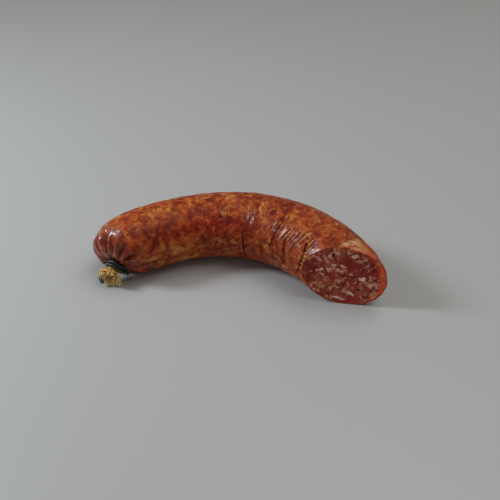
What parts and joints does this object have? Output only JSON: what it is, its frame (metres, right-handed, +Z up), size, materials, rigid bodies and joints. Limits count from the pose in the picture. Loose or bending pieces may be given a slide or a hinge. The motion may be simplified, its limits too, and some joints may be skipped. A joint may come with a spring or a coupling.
{
  "type": "half of a smoked ring sausage",
  "caption": "Half of a thick coarse-ground smoked ring sausage lying flat, cut on the slant at one end, gathered and tied with twine at the other.",
  "frame": {"origin": "centre of the footprint's bounding box, on the surface the sausage lies on", "axes": "+Z up; +X along the bend's chord, from the tied end to the cut end; +Y towards the outside of the bend"},
  "size_m": [0.17, 0.0748, 0.0402],
  "materials": {
    "casing": "thin smoked casing over mottled lean and fat, satin with a greasy sheen",
    "mince": "moist coarse mince, dark red with pale fat grains",
    "dry_casing": "dried bunched casing, straw yellow, matt",
    "twine": "twisted twine, very dark green, slightly waxy"
  },
  "bodies": {
    "root": {"sausage": "casing", "tie_twine": "twine"}
  },
  "joints": []
}
